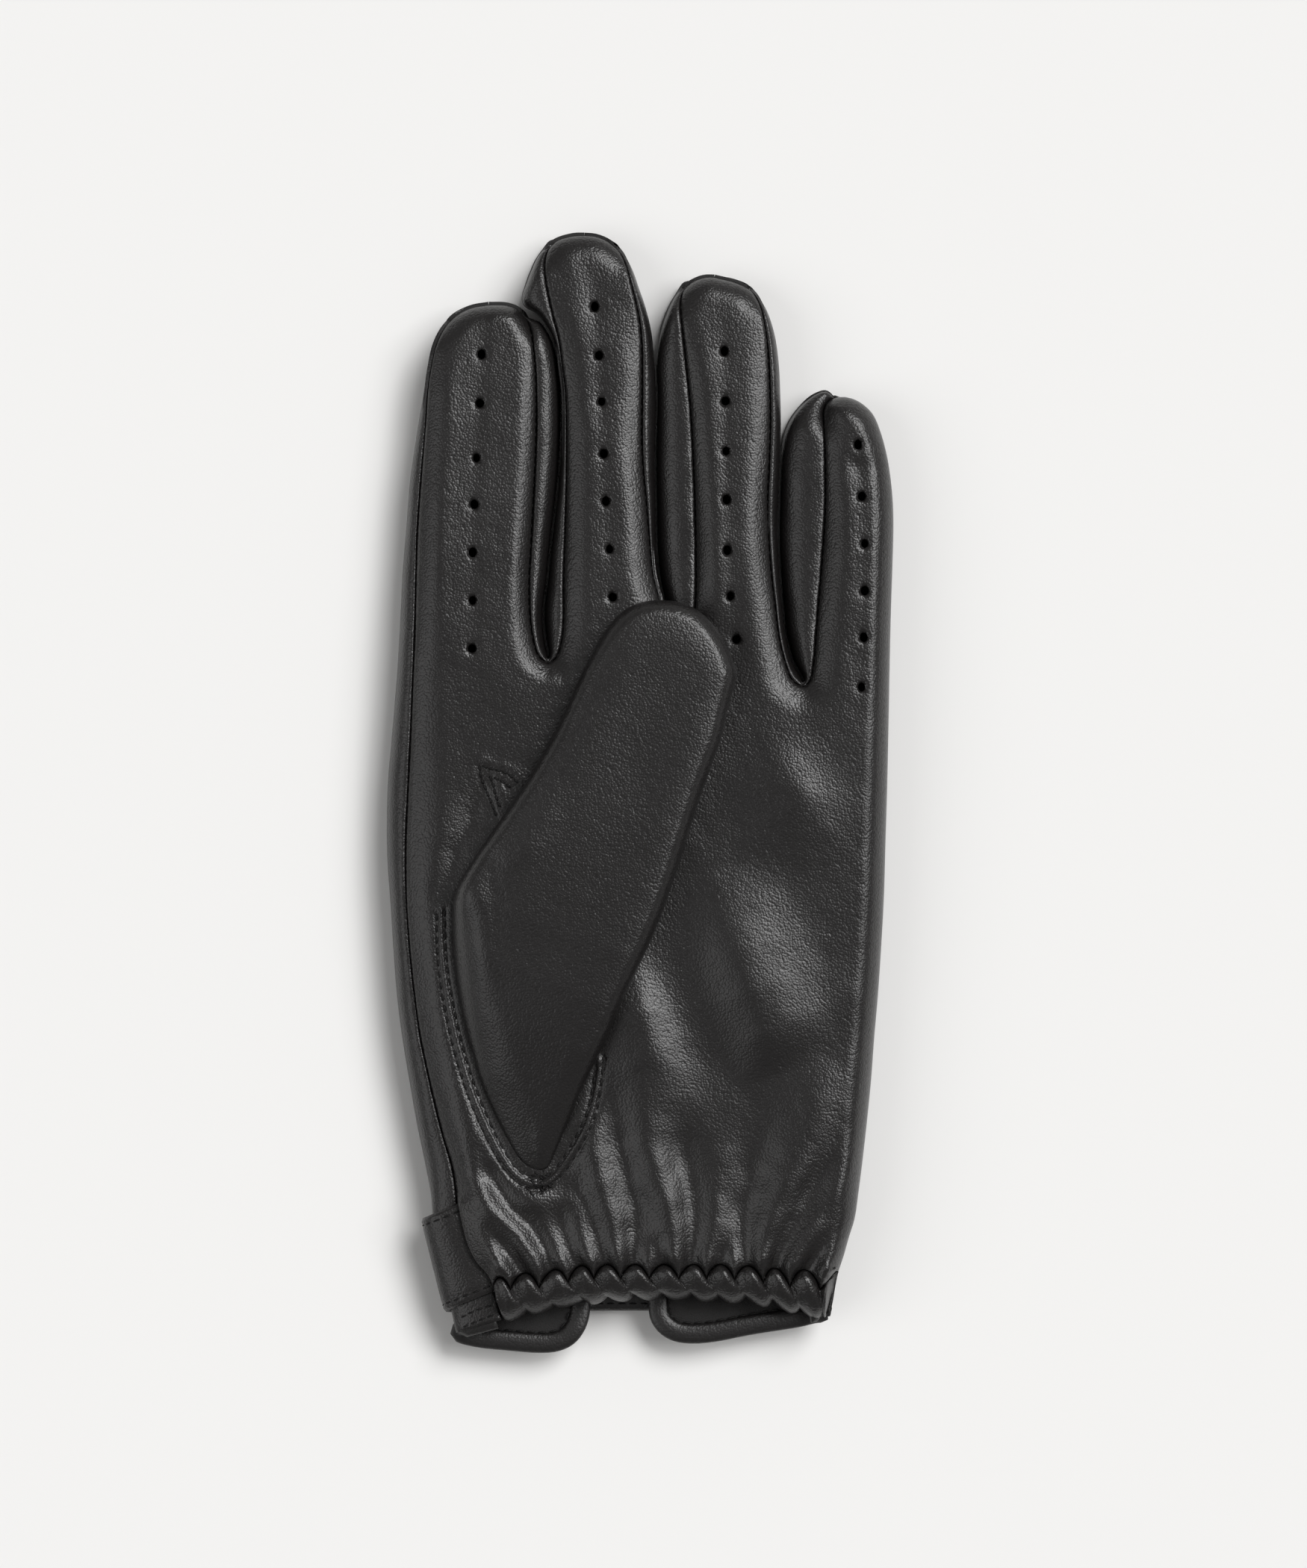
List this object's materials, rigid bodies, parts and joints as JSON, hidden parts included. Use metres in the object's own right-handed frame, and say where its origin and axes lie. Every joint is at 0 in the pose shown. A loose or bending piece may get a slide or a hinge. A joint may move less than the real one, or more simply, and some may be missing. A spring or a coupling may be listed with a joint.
{
  "type": "leather driving glove",
  "caption": "Unlined left-hand leather driving glove lying palm up, with vented fingers, a thumb folded over the palm, a gathered wrist and a strap with a press stud.",
  "frame": {"origin": "centre of the bounding box in plan, at the bottom of the back of the hand", "axes": "+Y towards the fingertips, +X towards the little finger, +Z out of the palm"},
  "size_m": [0.0954, 0.21, 0.024],
  "materials": {
    "leather": "fine grained, soft sheen",
    "binding_leather": "thin binding leather, soft sheen",
    "elastic": "woven elastic tape",
    "thread": "sewing thread",
    "snap_metal": "dark nickel"
  },
  "bodies": {
    "hand": {"palm_panel": "leather", "back_panel": "leather", "index_side_panel": "leather", "little_side_panel": "leather", "web_index_middle": "leather", "web_middle_ring": "leather", "web_ring_little": "leather", "palm_hem": "leather", "wrist_elastic": "elastic", "keyhole_binding": "binding_leather", "knuckle_bindings": "binding_leather", "thumb_root": "leather", "thumb_bar_tacks": "thread", "strap_root": "leather", "snap_stud": "snap_metal", "snap_post": "snap_metal"},
    "index": {"index_palm_face": "leather", "index_back_face": "leather", "index_side_wall": "leather", "index_fourchette": "leather"},
    "middle": {"middle_palm_face": "leather", "middle_back_face": "leather", "middle_fourchette_left": "leather", "middle_fourchette_right": "leather"},
    "ring": {"ring_palm_face": "leather", "ring_back_face": "leather", "ring_fourchette_left": "leather", "ring_fourchette_right": "leather"},
    "little": {"little_palm_face": "leather", "little_back_face": "leather", "little_fourchette": "leather", "little_side_wall": "leather"},
    "thumb": {"thumb_outer_face": "leather", "thumb_inner_face": "leather", "thumb_edge": "leather"},
    "strap": {"strap": "leather", "snap_cap": "snap_metal", "snap_socket": "snap_metal"}
  },
  "joints": [
    {"name": "index_curl", "type": "hinge", "parent": "hand", "child": "index", "pos_m": [-0.0296, 0.05, 0.008], "axis": [1, 0, 0], "range_deg": [0, 90]},
    {"name": "middle_curl", "type": "hinge", "parent": "hand", "child": "middle", "pos_m": [-0.006, 0.05, 0.008], "axis": [1, 0, 0], "range_deg": [0, 90]},
    {"name": "ring_curl", "type": "hinge", "parent": "hand", "child": "ring", "pos_m": [0.0147, 0.05, 0.008], "axis": [1, 0, 0], "range_deg": [0, 90]},
    {"name": "little_curl", "type": "hinge", "parent": "hand", "child": "little", "pos_m": [0.0374, 0.04, 0.008], "axis": [1, 0, 0], "range_deg": [0, 90]},
    {"name": "thumb_lift", "type": "hinge", "parent": "hand", "child": "thumb", "pos_m": [-0.0175, -0.0264, 0.0194], "axis": [0.9311, -0.3649, 0], "range_deg": [0, 60]},
    {"name": "strap_open", "type": "hinge", "parent": "hand", "child": "strap", "pos_m": [-0.01215, -0.0884, 0.0014], "axis": [0, 1, 0], "range_deg": [0, 160]}
  ]
}
